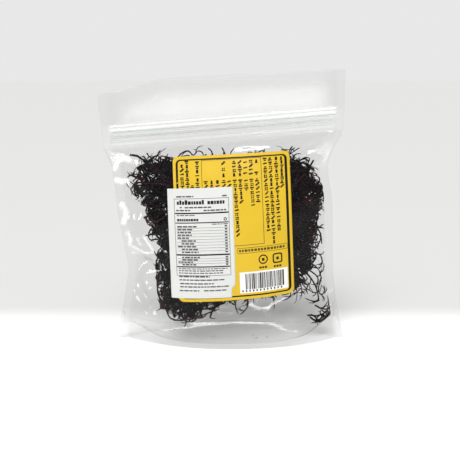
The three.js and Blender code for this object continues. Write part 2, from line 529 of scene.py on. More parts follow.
def filmDepth(across, height, side):
    inside, _ = fromWeld(across, height)
    depth = halfDepth(across, height, side)
    free = smooth(inside / film["creaseFromWeld"]) * smooth(height / film["creaseFromBase"])
    if side < 0:
        start, over = film["creaseFromPaper"]
        paper = np.minimum(fromPaper(label, across, height), fromPaper(sticker, across, height))
        free = free * smooth((paper - start) / over)
    start, over = film["creaseFromZip"]
    free = free * smooth((pouch["zipLow"] - start - height) / over)
    deep, size = film["wobble"]
    depth = depth - free * (creased(across, height, side) + deep * waves(5 + side, across, height, size))
    bulge = headerBulge
    sides = np.minimum(inside, bulge["high"] - height) - bulge["inset"]
    swell = smooth((height - bulge["low"]) / bulge["rise"]) * smooth(sides / bulge["edge"])
    share, size = bulge["uneven"]
    depth = depth + bulge["swell"] * swell * (1 + share * waves(21 + side, across, height, size))
    inZip = smooth((height - pouch["zipLow"] + 2) / 2) * smooth((pouch["zipHigh"] + 2 - height) / 2)
    ridge = sum(proud * smooth((height - low) / 0.9 + 0.5) * smooth((high - height) / 0.9 + 0.5)
                for low, high, proud, _ in zipRidges)
    depth = depth + smooth(inside / 2.5) * (zipBase * inZip + ridge)
    topSeal = smooth((pouch["top"] - 7 - height) / 1.5)
    return np.where(height > pouch["zipHigh"] + 2,
                    pouch["sealHalf"] + (depth - pouch["sealHalf"]) * topSeal,
                    np.maximum(depth, pouch["sealHalf"]))


def filmHaze(across, height, side):
    inside, _ = fromWeld(across, height)
    # the header's milky veil is painted reflection, fading towards the top edge and the welds
    top, over = film["headerThins"]
    left = film["headerAtTop"]
    header = left + (1 - left) * smooth((top - height) / over)
    start, over = film["headerStarts"]
    share, size = film["headerUneven"]
    header = header * smooth((inside - start) / over) * (1 + share * waves(61, across, height, size))
    header = header * smooth((height - pouch["zipHigh"]) / 2)
    # the ridges' milkiness, with painted reflection making the upper ones whiter
    ridgeWhite = sum(whiteness * smooth((height - low) / 0.8 + 0.5) * smooth((high - height) / 0.8 + 0.5)
              for low, high, _, whiteness in zipRidges) * smooth(inside / 2)
    inZip = smooth((height - zipRidges[0][0]) / 2) * smooth((pouch["zipHigh"] - height) / 2)
    haze = film["haze"] + film["headerPaintedReflection"] * header + film["zipHaze"] * inZip + ridgeWhite
    if side < 0:
        # painted reflection low on the front film, away from the right, and painted highlights along kinks
        (top, fade), (right, over) = film["paintedReflectionBelow"], film["paintedReflectionLeftOf"]
        lowPaintedReflection = smooth((top - height) / fade) * smooth((right - across) / over)
        haze = haze + film["basePaintedReflection"] * lowPaintedReflection + paintedKinkHighlight(across, height)
    return haze


def filmMap(side, step=0.8):
    # the film's depth on an even net of places, for all that has to stay inside it
    across = np.arange(-92, 86, step)
    height = np.arange(0, pouch["top"], step)
    depth = filmDepth(across[None, :] + 0 * height[:, None], height[:, None] + 0 * across, side)

    def look(x, z):
        column = np.clip((x - across[0]) / step, 0, len(across) - 1.001)
        row = np.clip((z - height[0]) / step, 0, len(height) - 1.001)
        i, j = row.astype(int), column.astype(int)
        down, right = row - i, column - j
        low = depth[i, j] * (1 - right) + depth[i, j + 1] * right
        high = depth[i + 1, j] * (1 - right) + depth[i + 1, j + 1] * right
        return low * (1 - down) + high * down
    return look


def filmGloss(across, height):
    # the two films are fused at the welds and waxy at the zip and above it, so they shine less
    inside, _ = fromWeld(across, height)
    above = smooth((height - zipRidges[0][0]) / 2)
    weld = film["weldGloss"]
    return (weld + (1 - weld) * smooth(inside / 1.5)) * (1 - (1 - film["zipGloss"]) * above)


def filmHeights():
    parts = [np.linspace(low, high, steps + 1)[:-1] for low, high, steps in film["rows"]]
    return np.append(np.concatenate(parts), pouch["top"])


def acrossRow(heights, columns):
    # places from the left edge to the right edge, with the welds' inner edges among them
    left, right = levelValue(1, heights)[:, None], levelValue(2, heights)[:, None]
    weld = pouch["sealWidth"]
    strip = np.linspace(0, weld, 4)
    middle = np.linspace(0, 1, columns - 6)[1:-1]
    return np.concatenate((
        left + strip,
        left + weld + (right - left - 2 * weld) * middle,
        right - strip[::-1],
    ), 1)


def filmPanel(name, side, material):
    heights = filmHeights()
    across = acrossRow(heights, film["columns"])
    tall = np.broadcast_to(heights[:, None], across.shape)
    points = settle(across, side * filmDepth(across, tall, side), tall)
    faces = gridFaces(*across.shape, flip=side > 0)
    panel = meshObject(name, points.reshape(-1, 3), faces, material)
    pointValues(panel, "haze", filmHaze(across, tall, side).ravel())
    pointValues(panel, "gloss", filmGloss(across, tall).ravel())
    return walled(panel)


gusset = {
    "columns": 118,
    "rows": 35,
    "rim": 3.8,  # height of the weld to the front and back at the middle
    "rimRise": 22,  # and how much higher it is at the sides
    "floor": 1.4,
    "foldRise": 13,
    "half": 78,  # half its length
    "foldFrom": 0.6,  # share of that half at which the fold starts to rise
    "crinkle": 0.4,
    "haze": 0.03,
    "gloss": 0.4,
}


def gussetHeight(across, share):
    # share runs from -1 at the front weld to 1 at the back weld
    out = np.clip(np.abs(across) / gusset["half"], 0, 1)
    rim = gusset["rim"] + gusset["rimRise"] * out ** 5
    start = gusset["foldFrom"]
    floor = gusset["floor"] + gusset["foldRise"] * smooth((out - start) / (1 - start))
    return floor + (rim - floor) * np.abs(share) ** 2.4


def gussetFilm(name, material):
    share = np.linspace(-1, 1, gusset["rows"])[:, None]
    level = gusset["rim"] + gusset["rimRise"]
    left, right = levelValue(1, level) + 1, levelValue(2, level) - 1
    across = np.linspace(left, right, gusset["columns"])[None, :] + 0 * share
    height = gussetHeight(across, share)
    front = filmDepth(across, height, -1) - film["thick"] - 0.06
    back = filmDepth(across, height, 1) - film["thick"] - 0.06
    depth = np.where(share < 0, front, back) * share
    wrinkle = waves(8, across, depth, 26) + 0.3 * waves(9, across, depth, 11)
    free = 1 - np.abs(share) ** 4
    height = height + gusset["crinkle"] * np.maximum(wrinkle * free, -1) + 0.1
    points = settle(across, depth, height)
    faces = gridFaces(*across.shape)
    sheet = meshObject(name, points.reshape(-1, 3), faces, material)
    for kind in ("haze", "gloss"):
        pointValues(sheet, kind, np.full(len(sheet.data.vertices), gusset[kind]))
    return walled(sheet)


def filmMaterial():
    # Cast polypropylene film: glass-clear with a faint grey-green cast, and sharp small
    # highlights on every crease. Its haze is the zip's own milkiness and, elsewhere, painted reflection
    # and painted highlights.
    material, tree = newMaterial("castPolypropyleneFilm")
    facing = addNode(tree, "ShaderNodeLayerWeight", {"Blend": 0.5})
    steep = addNode(tree, "ShaderNodeMath", {"operation": "POWER", 1: 4.0},
                    {0: facing.outputs["Facing"]})
    shiny = addNode(tree, "ShaderNodeAttribute", {"attribute_name": "gloss"})
    curve = addNode(tree, "ShaderNodeMath", {"operation": "MULTIPLY_ADD", 1: 0.6, 2: 0.038},
                    {0: steep.outputs[0]})
    gloss = addNode(tree, "ShaderNodeMath", {"operation": "MULTIPLY"},
                    {0: curve.outputs[0], 1: shiny.outputs["Fac"]})
    place = addNode(tree, "ShaderNodeTexCoord")
    # fine dulling of the surface, drawn at 6 mm so that it shows
    dull = addNode(tree, "ShaderNodeTexNoise", {"Scale": 160.0, "Detail": 3.0},
                   {"Vector": place.outputs["Object"]})
    rough = addNode(tree, "ShaderNodeMapRange", {"To Min": 0.05, "To Max": 0.13},
                    {"Value": dull.outputs["Fac"]})
    cloudy = addNode(tree, "ShaderNodeAttribute", {"attribute_name": "haze"})
    clear = addNode(tree, "ShaderNodeBsdfTransparent", {"Color": hexColour("#fefefe")})
    mirror = addNode(tree, "ShaderNodeBsdfGlossy", {"Color": (1, 1, 1, 1)},
                     {"Roughness": rough.outputs["Result"]})
    haze = addNode(tree, "ShaderNodeBsdfDiffuse", {"Color": hexColour("#fcfdfc")})
    body = addNode(tree, "ShaderNodeMixShader", {},
                   {0: cloudy.outputs["Fac"], 1: clear.outputs[0], 2: haze.outputs[0]})
    shine = addNode(tree, "ShaderNodeMixShader", {},
                    {0: gloss.outputs[0], 1: body.outputs[0], 2: mirror.outputs[0]})
    addNode(tree, "ShaderNodeOutputMaterial", {}, {"Surface": shine.outputs[0]})
    return material


# ---- zip: ribs swept along the pouch's rows

zipper = {
    "tracks": ((154.0, 0.42), (156.5, 0.5), (158.8, 0.42)),  # height and thickness of each
    "clear": 0.06,  # from the film's inner face
    "bead": (0.66, (155.2, 157.7)),  # thickness and heights of the closed beads between them
    "step": 2.5,
    "sides": 8,
}


def sweptTubes(name, paths, thickness, material, sides, tints=None):
    # paths are lists of points, and thickness has a radius for each point of each path
    points = np.concatenate(paths)
    edges = []
    first = 0
    for path in paths:
        edges += [(first + i, first + i + 1) for i in range(len(path) - 1)]
        first += len(path)
    piece = meshObject(name, points, (), None, edges)
    pointValues(piece, "radius", np.concatenate(thickness) * mm)
    if tints is not None:
        pointValues(piece, "tint", np.concatenate(tints))
    tree = bpy.data.node_groups.new(name + "Sweep", "GeometryNodeTree")
    face = tree.interface
    face.new_socket("Geometry", in_out="INPUT", socket_type="NodeSocketGeometry")
    size = face.new_socket("Size", in_out="INPUT", socket_type="NodeSocketFloat")
    around = face.new_socket("Sides", in_out="INPUT", socket_type="NodeSocketInt")
    finish = face.new_socket("Finish", in_out="INPUT", socket_type="NodeSocketMaterial")
    face.new_socket("Geometry", in_out="OUTPUT", socket_type="NodeSocketGeometry")
    start = addNode(tree, "NodeGroupInput")
    line = addNode(tree, "GeometryNodeMeshToCurve", {}, {"Mesh": start.outputs["Geometry"]})
    wide = addNode(tree, "GeometryNodeInputNamedAttribute", {"data_type": "FLOAT", "Name": "radius"})
    sized = addNode(tree, "GeometryNodeSetCurveRadius", {},
                    {"Curve": line.outputs["Curve"], "Radius": wide.outputs["Attribute"]})
    profile = addNode(tree, "GeometryNodeCurvePrimitiveCircle", {},
                      {"Resolution": start.outputs["Sides"], "Radius": start.outputs["Size"]})
    sweep = addNode(tree, "GeometryNodeCurveToMesh", {"Fill Caps": True},
                    {"Curve": sized.outputs["Curve"], "Profile Curve": profile.outputs["Curve"]})
    scale = addNode(tree, "GeometryNodeInputRadius")
    if "Scale" in sweep.inputs:
        tree.links.new(scale.outputs["Radius"], sweep.inputs["Scale"])
    soft = addNode(tree, "GeometryNodeSetShadeSmooth", {}, {0: sweep.outputs["Mesh"]})
    real = addNode(tree, "GeometryNodeRealizeInstances", {}, {0: soft.outputs[0]})
    coated = addNode(tree, "GeometryNodeSetMaterial", {},
                     {"Geometry": real.outputs[0], "Material": start.outputs["Finish"]})
    addNode(tree, "NodeGroupOutput", {}, {"Geometry": coated.outputs[0]})
    modifier = piece.modifiers.new("sweep", "NODES")
    modifier.node_group = tree
    modifier[size.identifier] = 1.0
    modifier[around.identifier] = sides
    modifier[finish.identifier] = material
    return finished(piece)


def zipRow(height, depthOf):
    left, right = levelValue(1, height), levelValue(2, height)
    margin = pouch["sealWidth"] + 0.8
    across = np.arange(left + margin, right - margin, zipper["step"])
    return settle(across, depthOf(across, height), height)


def zipTracks(name, side, material):
    paths, sizes = [], []
    for height, thick in zipper["tracks"]:
        inner = film["thick"] + zipper["clear"] + thick
        paths.append(zipRow(height, lambda x, z: side * (filmDepth(x, z + 0 * x, side) - inner)))
        sizes.append(np.full(len(paths[-1]), thick))
    return sweptTubes(name, paths, sizes, material, zipper["sides"])


def zipBeads(name, material):
    thick, heights = zipper["bead"]
    paths = [zipRow(height, lambda x, z: 0 * x) for height in heights]
    return sweptTubes(name, paths, [np.full(len(path), thick) for path in paths], material,
                      zipper["sides"])


def zipMaterial():
    # Extruded low-density polyethylene: milky, waxy and soft in its shine.
    material, tree = newMaterial("extrudedPolyethyleneZip")
    facing = addNode(tree, "ShaderNodeLayerWeight", {"Blend": 0.5})
    gloss = addNode(tree, "ShaderNodeMath", {"operation": "MULTIPLY_ADD", 1: 0.12, 2: 0.04},
                    {0: facing.outputs["Facing"]})
    clear = addNode(tree, "ShaderNodeBsdfTransparent", {"Color": hexColour("#fafbfa")})
    milk = addNode(tree, "ShaderNodeBsdfDiffuse", {"Color": hexColour("#f8f9f8")})
    body = addNode(tree, "ShaderNodeMixShader", {"Fac": 0.3},
                   {1: clear.outputs[0], 2: milk.outputs[0]})
    mirror = addNode(tree, "ShaderNodeBsdfGlossy", {"Roughness": 0.3})
    shine = addNode(tree, "ShaderNodeMixShader", {},
                    {0: gloss.outputs[0], 1: body.outputs[0], 2: mirror.outputs[0]})
    addNode(tree, "ShaderNodeOutputMaterial", {}, {"Surface": shine.outputs[0]})
    return material


# ---- papers and print


def sheetShell(paper, edges, columns, high, low):
    # edges are (left, right, up) for each row. The shell's points lie in one ring for each row
    rings = []
    for left, right, up in edges:
        sides = np.linspace(left, right, columns)
        outer = paperPoint(paper, sides, up, high)
        inner = paperPoint(paper, sides, up, low)
        rings.append(np.concatenate((outer, inner[::-1])))
    return np.concatenate(rings)


def paperSheet(name, paper, material, nick=None):
    wide, tall = paper["size"]
    corner = paper["corner"]
    ends = corner * (1 - np.cos(np.linspace(0, math.pi / 2, 7)))
    body = np.linspace(corner, tall - corner, round((tall - 2 * corner) / paperStep) + 1)
    edges = []
    for row in np.concatenate((ends[:-1], body, tall - ends[:-1][::-1])):
        missing = max(corner - min(row, tall - row), 0)
        inset = corner - math.sqrt(corner ** 2 - missing ** 2)
        step = 0 if nick is None else nick["deep"] * smooth((nick["high"] - row) / nick["over"])
        edges.append((inset - wide / 2, wide / 2 - inset - step, row - tall / 2))
    columns = round(wide / paperStep) + 1
    points = sheetShell(paper, edges, columns, paper["thick"], 0)
    sheet = meshObject(name, points, ringFaces(len(edges), 2 * columns), material)
    for polygon in sheet.data.polygons:
        sides = set(vertex % (2 * columns) >= columns for vertex in polygon.vertices)
        polygon.use_smooth = len(sides) == 1
    return sheet


ink = {"lift": 0.035, "sunk": 0.03, "step": 2.2}


class Print:
    # thin raised ink on one paper: bars and bands, each a closed solid
    def __init__(self, paper, lift=0.0):
        self.paper = paper
        self.low = paper["thick"] + lift - ink["sunk"]
        self.high = paper["thick"] + lift + ink["lift"]
        self.points = []
        self.faces = []
        self.count = 0

    def rings(self, first, second, loop=False):
        # a band between two rows of places on the paper
        stack = [paperPoint(self.paper, place[:, 0], place[:, 1], lift)
                 for place, lift in ((first, self.high), (first, self.low),
                                     (second, self.low), (second, self.high))]
        points = np.stack(stack, 1).reshape(-1, 3)
        self.faces += ringFaces(len(first), 4, self.count, loop)
        self.points.append(points)
        self.count += len(points)

    def bar(self, left, right, low, high):
        if right - left >= high - low:
            steps = max(2, math.ceil((right - left) / ink["step"]) + 1)
            run = np.linspace(left, right, steps)
            first = np.stack((run, np.full(steps, high)), 1)
            second = np.stack((run, np.full(steps, low)), 1)
        else:
            steps = max(2, math.ceil((high - low) / ink["step"]) + 1)
            run = np.linspace(low, high, steps)
            first = np.stack((np.full(steps, left), run), 1)
            second = np.stack((np.full(steps, right), run), 1)
        self.rings(first, second)

    def field(self, left, right, low, high):
        # an area too large for one bar, as it has to follow the paper both ways
        columns = math.ceil((right - left) / paperStep) + 1
        rows = np.linspace(low, high, math.ceil((high - low) / paperStep) + 1)
        edges = [(left, right, up) for up in rows]
        self.points.append(sheetShell(self.paper, edges, columns, self.high, self.low))
        self.faces += ringFaces(len(edges), 2 * columns, self.count)
        self.count += len(edges) * 2 * columns

    def frame(self, left, right, low, high, thick):
        self.bar(left, right, high - thick, high)
        self.bar(left, right, low, low + thick)
        self.bar(left, left + thick, low + thick, high - thick)
        self.bar(right - thick, right, low + thick, high - thick)

    def made(self, name, material):
        piece = meshObject(name, np.concatenate(self.points), self.faces, material)
        piece.data.polygons.foreach_set("use_smooth", [False] * len(piece.data.polygons))
        return piece


def roundedLoop(left, right, low, high, radius, arc=9, edge=26):
    # places round a rounded rectangle, the same number for any size
    corners = (((right, high), 0), ((left, high), 90), ((left, low), 180), ((right, low), 270))
    places = []
    for index, ((x, y), start) in enumerate(corners):
        cx = x - radius if x == right else x + radius
        cy = y - radius if y == high else y + radius
        angles = np.radians(np.linspace(start, start + 90, arc))
        turn = np.stack((cx + radius * np.cos(angles), cy + radius * np.sin(angles)), 1)
        if places:
            join = np.linspace(places[-1][-1], turn[0], edge)[1:-1]
            places.append(join)
        places.append(turn)
    places.append(np.linspace(places[-1][-1], places[0][0], edge)[1:-1])
    return np.concatenate(places)


def disc(middle, radius, steps=28):
    angles = np.linspace(0, math.tau, steps, endpoint=False)
    return np.stack((middle[0] + radius * np.cos(angles), middle[1] + radius * np.sin(angles)), 1)


# Columns of marks on the label stand where small print would be, and say nothing.
labelPrint = {
    "seed": 3,
    "border": {"inset": 2.0, "corner": 3.2, "left": 1.5, "right": 1.8, "top": 0.9, "bottom": 1.0},
    "frame": {"left": -21.2, "right": 20.7, "low": -12.0, "high": 47.2, "thick": 0.34},
    # a mark is a few blocks: their size, and their places in each kind of mark
    "mark": {"size": (0.74, 1.16), "apart": 0.62, "kinds": (
        ((-1, -1), (1, -1), (-1, 1), (1, 1)), ((0, -1.2), (0, 0), (0, 1.2)), ((-1, 0), (1, 0.4)),
        ((-1, -1), (1, -1), (0, 1)), ((0, -1), (-1, 1), (1, 1)), ((0, 0), (1.2, 1.2), (-1.2, -1)),
    )},
    # side at the top and at the bottom, top, bottom and pitch of each column
    "columns": (
        (35.0, 35.0, 46.8, 25.2, 2.7), (31.2, 31.4, 46.8, -4.6, 2.85),
        (27.0, 27.6, 46.8, -12.6, 2.85), (23.3, 24.0, 46.8, -4.0, 2.85),
        (17.2, 17.2, 46.0, 43.0, 3.0), (17.2, 17.2, 38.0, 35.0, 3.0),
        (17.3, 17.6, 33.4, 15.8, 2.8), (13.3, 13.3, 46.0, 35.0, 2.75),
        (13.4, 13.8, 33.4, 13.4, 2.8), (9.4, 9.4, 46.0, 35.0, 3.6), (9.5, 9.6, 33.4, 25.0, 2.8),
        (5.5, 5.5, 46.0, 35.0, 2.75), (5.6, 5.9, 33.4, 16.4, 2.8),
        (1.6, 1.6, 46.0, 35.0, 2.75), (1.7, 2.6, 33.4, -4.6, 2.8), (-2.2, -2.2, 33.4, 24, 2.8),
        (-6.0, -6.0, 46.4, 34.4, 4.0), (-6.0, -6.0, 33.8, 24, 2.9), (-10.4, -10.4, 33.6, 24, 2.8),
        (-14.5, -14.5, 33.6, 24, 2.8), (-18.5, -18.5, 33.6, 24, 2.8),
        (-24.0, -24.0, 46.8, 24, 2.8), (-28.0, -28.0, 31.2, 24, 2.8),
        (-31.2, -31.2, 47.6, 24, 2.8), (-34.7, -34.7, 45.2, 24, 2.8),
    ),
    "band": {"left": 1.6, "right": 36.9, "low": -17.6, "high": -13.7, "thick": 0.28},
    "ring": {"middle": (19.3, -22.8), "outer": 3.3, "inner": 2.45},
    "square": {"middle": (29.5, -23.1), "half": 3.5, "line": 0.95},
    "caption": {"below": 5.6, "half": 2.9, "tall": 0.7},
    "panel": {"left": 2.3, "right": 36.5, "low": -45.9, "high": -30.7},
    "bars": {"left": 6.3, "right": 34.4, "low": -43.3, "high": -31.9},
}


def markColumn(ink, column, mark, random):
    topSide, lowSide, top, low, pitch = column
    count = max(round((top - low) / pitch), 1)
    for step in range(count):
        share = step / max(count - 1, 1)
        side = topSide + (lowSide - topSide) * share + random.uniform(-0.15, 0.15)
        up = top - (step + 0.5) * pitch
        places = mark["kinds"][random.integers(len(mark["kinds"]))]
        for dx, dz in places:
            wide, tall = random.uniform(*mark["size"], 2) / 2
            if len(places) < 4:
                wide *= 1.5
            x, z = side + dx * mark["apart"], up + dz * mark["apart"]
            ink.bar(x - wide, x + wide, z - tall, z + tall)


def printLabel(black, brown, white):
    p = labelPrint
    random = np.random.default_rng(p["seed"])
    wide, tall = label["size"][0] / 2, label["size"][1] / 2
    strong, fine, panel, onPanel = Print(label), Print(label), Print(label), Print(label, ink["lift"])
    b = p["border"]
    left, right, low, high = b["inset"] - wide, wide - b["inset"], b["inset"] - tall, tall - b["inset"]
    outer = roundedLoop(left, right, low, high, b["corner"])
    inner = roundedLoop(left + b["left"], right - b["right"], low + b["bottom"], high - b["top"],
                        b["corner"] * 0.65)
    strong.rings(outer, inner, loop=True)
    f = p["frame"]
    fine.frame(f["left"], f["right"], f["low"], f["high"], f["thick"])
    for column in p["columns"]:
        markColumn(strong, column, p["mark"], random)
    f = p["band"]
    fine.frame(f["left"], f["right"], f["low"], f["high"], f["thick"])
    wordRow(fine, f["left"] + 1, f["right"] - 1, f["low"] + 1.1, f["high"] - 1.1, random,
            (1.2, 2.1), 0.6)
    (x, y), half, line = p["square"]["middle"], p["square"]["half"], p["square"]["line"]
    strong.rings(disc(p["ring"]["middle"], p["ring"]["outer"]),
                 disc(p["ring"]["middle"], p["ring"]["inner"]), loop=True)
    strong.rings(roundedLoop(x - half, x + half, y - half, y + half, 1.6, 7, 6),
                 roundedLoop(x - half + line, x + half - line, y - half + line, y + half - line,
                             0.9, 7, 6), loop=True)
    c = p["caption"]
    for x, y in (p["ring"]["middle"], p["square"]["middle"]):
        strong.bar(x - 0.9, x + 0.9, y - 1.1, y + 0.9)
        wordRow(strong, x - c["half"], x + c["half"], y - c["below"] - c["tall"],
                y - c["below"] + c["tall"], random, (1.0, 1.6), 0.5)
    f = p["panel"]
    panel.field(f["left"], f["right"], f["low"], f["high"])
    f = p["bars"]
    side = f["left"]
    while side < f["right"] - 0.4:
        thick = random.choice((0.36, 0.36, 0.72, 1.08))
        onPanel.bar(side, min(side + thick, f["right"]), f["low"], f["high"])
        side += thick + random.choice((0.36, 0.36, 0.72))
    side = f["left"] - 2.6
    while side < f["right"] - 1:
        onPanel.bar(side, side + 1.0, f["low"] - 1.8, f["low"] - 0.4)
        side += 2.5
    return [strong.made("label_ink", black), fine.made("label_fine_ink", brown),
            panel.made("label_panel", white), onPanel.made("label_panel_bars", black)]


stickerPrint = {
    "seed": 12,
    "box": {"left": -18.3, "right": 19.8, "low": -22.2, "high": 31.4, "thick": 0.3},
    "heading": {"low": 27.3, "high": 30.3},
    "word": {"low": 16.0, "high": 18.2},
    "figure": {"middle": (17.0, 16.9), "outer": 1.15, "inner": 0.6},
    "rules": ((21.4, 0.95), (14.8, 0.7), (-7.6, 1.05), (-16.0, 0.85)),  # height and thickness
    "rows": {"high": 12.2, "pitch": 1.99, "count": 10},
    "lastRows": {"high": -9.3, "pitch": 1.72, "count": 4},
    # left, right and middle height of each line of small print, then its thickness
    "lines": (
        (-16.6, -4.6, 32.7, 0.9), (15.2, 18.5, 32.6, 0.9), (-14.4, -12.8, 25.4, 0.8),
        (-10.9, 7.5, 25.3, 0.9), (-17.0, -6.6, 23.4, 0.9), (2.2, 18.4, 23.2, 0.95),
        (-16.6, -3.6, 20.0, 0.6), (7.6, 18.6, 13.6, 0.6),
        (-16.6, 17.4, -17.4, 0.6), (-16.8, 15.2, -18.8, 0.7), (-16.8, 14.2, -20.4, 0.7),
        (-16.7, 4.8, -22.8, 1.0), (-16.5, 16.0, -25.2, 0.85), (-16.2, 7.5, -27.8, 0.85),
        (-16.2, 18.6, -30.0, 0.85), (-16.6, -2.8, -32.7, 0.85), (0.5, 16.2, -32.7, 0.85),
    ),
}


def wordRow(ink, left, right, low, high, random, words=(1.2, 4.0), gap=0.55, tallShare=1.0):
    # a run of blocks as long as words or letters are, some of them lower than the rest
    side = left
    while side < right - 0.5:
        length = min(random.uniform(*words), right - side)
        top = high if random.random() < tallShare else low + 0.74 * (high - low)
        ink.bar(side, side + length, low, top)
        side += length + gap


def printSticker(black, grey):
    p = stickerPrint
    random = np.random.default_rng(p["seed"])
    strong, fine = Print(sticker), Print(sticker)
    b, heading, word, figure = p["box"], p["heading"], p["word"], p["figure"]
    fine.frame(b["left"], b["right"], b["low"], b["high"], b["thick"])
    for left, right in ((-16.3, 3.3), (5.0, 16.8)):
        wordRow(strong, left, right, heading["low"], heading["high"], random, (1.2, 2.1), 0.4, 0.2)
    wordRow(strong, -16.5, -1.6, word["low"], word["high"], random, (1.0, 1.8), 0.35, 0.2)
    strong.rings(disc(figure["middle"], figure["outer"], 16),
                 disc(figure["middle"], figure["inner"], 16), loop=True)
    for middle, thick in p["rules"]:
        strong.bar(b["left"] + 0.5, b["right"] - 0.5, middle - thick / 2, middle + thick / 2)
    for left, right, middle, thick in p["lines"]:
        wordRow(fine, left, right, middle - thick / 2, middle + thick / 2, random)
    for rows in (p["rows"], p["lastRows"]):
        for row in range(rows["count"]):
            middle = rows["high"] - row * rows["pitch"]
            left = -16.6 + random.choice((0, 0, 2.6))
            wordRow(fine, left, left + random.uniform(8, 14), middle - 0.5, middle + 0.5, random)
            fine.bar(16.4, 18.2, middle - 0.5, middle + 0.5)
            if row < rows["count"] - 1:
                line = middle - rows["pitch"] / 2
                fine.bar(b["left"] + 1.2, b["right"] - 0.5, line - 0.09, line + 0.09)
    return [strong.made("sticker_ink", black), fine.made("sticker_fine_ink", grey)]


def paperMaterial(name, pale, deep, roughness, fibre=0.03):
    # Coated label paper: an even colour with faint mottling, and a dull sheen from its coating.
    material, tree = newMaterial(name)
    place = addNode(tree, "ShaderNodeTexCoord")
    mottle = addNode(tree, "ShaderNodeTexNoise", {"Scale": 90.0, "Detail": 4.0},
                     {"Vector": place.outputs["Object"]})
    colour = addNode(tree, "ShaderNodeMix",
                     {"data_type": "RGBA", 6: hexColour(deep), 7: hexColour(pale)},
                     {0: mottle.outputs["Fac"]})
    # the coating's tooth, 0.3 mm, drawn at 0.6 mm so that it shows
    tooth = addNode(tree, "ShaderNodeTexNoise", {"Scale": 1600.0, "Detail": 2.0},
                    {"Vector": place.outputs["Object"]})
    bump = addNode(tree, "ShaderNodeBump", {"Strength": fibre, "Distance": 0.0002},
                   {"Height": tooth.outputs["Fac"]})
    shader = addNode(tree, "ShaderNodeBsdfPrincipled", {"Roughness": roughness, "IOR": 1.45},
                     {"Base Color": colour.outputs[2], "Normal": bump.outputs["Normal"]})
    addNode(tree, "ShaderNodeOutputMaterial", {}, {"Surface": shader.outputs[0]})
    return material


def inkMaterial(name, pale, deep):
    # Offset ink on coated paper: a flat dense film, patchy only from close by.
    return paperMaterial(name, pale, deep, 0.42, 0.01)


# ---- seaweed: a dark core, branched strands over it, and crumbs

# The heap as the front shows it: places along its four sides.
heap = {
    "left": ((12, -38), (20, -42), (34, -44), (45, -47), (62, -47), (72, -46), (82, -46), (92, -51),
             (100, -53), (106, -55), (113, -61), (122, -64), (132, -62), (138, -56)),  # height, across
    "right": ((12, 44), (24, 46), (40, 47), (48, 50), (58, 53), (72, 55), (88, 56), (98, 60),
              (107, 60), (113, 53), (119, 46), (134, 47)),
    "bottom": ((-52, 38), (-46, 32), (-38, 27), (-25, 28), (-10, 33), (4, 37), (38, 39), (48, 43),
               (58, 42), (66, 38)),
    "top": ((-70, 124), (-60, 131), (-46, 132), (-38, 127), (0, 127), (38, 127), (50, 127),
            (60, 118)),
}


def edgeOf(name, place):
    table = np.array(heap[name], float)
    return np.interp(place, table[:, 0], table[:, 1])


def heapInset(across, height):
    # how far inside the heap a place is, from its nearest side
    return np.minimum(
        np.minimum(across - edgeOf("left", height), edgeOf("right", height) - across),
        np.minimum(height - edgeOf("bottom", across), edgeOf("top", across) - height),
    )


heapField = ((-76, 10), (74, 140))  # across and height of two corners that the heap lies within
heapMiddle = (0, 0, 78)

core = {"rows": 74, "columns": 110, "low": 30, "high": 128, "inset": 8, "share": 0.66, "relief": 1.5,
        "uneven": 1.6}


def seaweedCore(material):
    rings = []
    for share in np.linspace(0, 1, core["rows"]):
        level = core["low"] + (core["high"] - core["low"]) * share
        uneven = core["uneven"] * waves(31, level, share, 14)
        left = edgeOf("left", level) + core["inset"] + uneven
        right = edgeOf("right", level) - core["inset"] + uneven
        side = np.sin(np.linspace(-math.pi / 2, math.pi / 2, core["columns"]))
        across = (left + right) / 2 + (right - left) / 2 * side
        bottom = edgeOf("bottom", across) + core["inset"] - 3
        top = edgeOf("top", across) - core["inset"]
        height = bottom + (top - bottom) * share + core["uneven"] * waves(33, across, share, 17)
        full = np.sqrt(np.clip(1 - np.abs(side) ** 5, 0, 1)) * math.sqrt(1 - abs(2 * share - 1) ** 8)
        rows = []
        for facing in (-1, 1):
            relief = waves(35, across, height, 6) + 0.7 * waves(36 + facing, across, height, 3)
            deep = halfDepth(across, height, facing) * core["share"] + core["relief"] * relief
            rows.append(settle(across, facing * (0.15 + np.maximum(deep, 0) * full), height))
        rings.append(np.concatenate((rows[0], rows[1][::-1])))
    faces = ringFaces(len(rings), 2 * core["columns"])
    return meshObject("seaweed_core", np.concatenate(rings), faces, material)


strand = {
    "step": 1.8,
    "sides": 5,
    "clear": 0.95,  # kept from the film
    "above": 1.6,  # and kept from the base
    "baseHalf": 24,  # half the base's depth, as the strands take it
    "curl": 0.16,
    "homing": 0.12,  # how fast a strand turns back, for each mm that it is out of reach
    "flat": 0.8,  # how much of a strand's way in and out is kept at each step
    "bend": 0.8,  # how sharply it bends away from the film
}
# Steps, branches from each, and radius at the root and the tip, for each order of branching.
tangleOrders = (
    {"steps": 13, "branches": 4, "root": 0.74, "tip": 0.52},
    {"steps": 6, "branches": 2, "root": 0.56, "tip": 0.38},
    {"steps": 4, "branches": 0, "root": 0.42, "tip": 0.24},
)
antlerOrders = (
    {"steps": 6, "branches": 3, "root": 0.62, "tip": 0.46},
    {"steps": 4, "branches": 2, "root": 0.48, "tip": 0.36},
    {"steps": 3, "branches": 0, "root": 0.38, "tip": 0.26},
)
longOrders = (
    {"steps": 26, "branches": 3, "root": 0.62, "tip": 0.44},
    {"steps": 4, "branches": 1, "root": 0.44, "tip": 0.32},
    {"steps": 3, "branches": 0, "root": 0.34, "tip": 0.24},
)


frontFilm, backFilm = filmMap(-1), filmMap(1)


def unit(vectors):
    return vectors / np.maximum(np.linalg.norm(vectors, axis=-1, keepdims=True), 1e-9)


